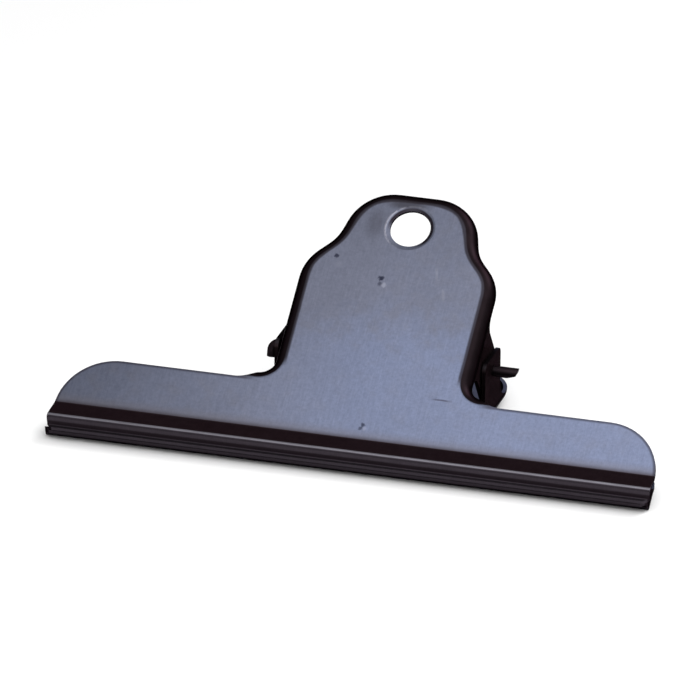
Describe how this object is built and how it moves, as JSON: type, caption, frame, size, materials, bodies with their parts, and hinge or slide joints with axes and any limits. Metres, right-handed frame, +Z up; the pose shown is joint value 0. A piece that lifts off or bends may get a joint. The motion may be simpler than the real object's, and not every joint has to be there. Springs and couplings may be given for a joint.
{
  "type": "bulldog clip",
  "caption": "Wide sprung letter clip: two T-shaped pressed steel plates with gutter jaws and holed handles turn on a pin, held shut by a coil spring.",
  "frame": {"origin": "under the middle of the clip's box, on the surface that it lies on", "axes": "+X along the jaw, +Y from the mouth towards the handles, +Z up; the clip lies on its back plate, on the ridge of the back lip and the end of the back handle"},
  "size_m": [0.151, 0.078, 0.0461],
  "materials": {
    "front_plate": "smooth plated steel, blue grey",
    "back_plate": "smooth plated steel, blue grey",
    "hinge_pin": "drawn steel, dull",
    "torsion_spring": "drawn spring steel wire"
  },
  "bodies": {
    "back_half": {"back_plate": "back_plate", "hinge_pin": "hinge_pin", "torsion_spring": "torsion_spring"},
    "front_half": {"front_plate": "front_plate"}
  },
  "joints": [
    {"name": "jaw_hinge", "type": "hinge", "parent": "back_half", "child": "front_half", "pos_m": [0, 0.00022, 0.01418], "axis": [-1, 0, 0], "range_deg": [0, 63], "stiffness_Nm_per_rad": 0.3, "springref_deg": -68.75, "deforming": ["torsion_spring"]}
  ]
}
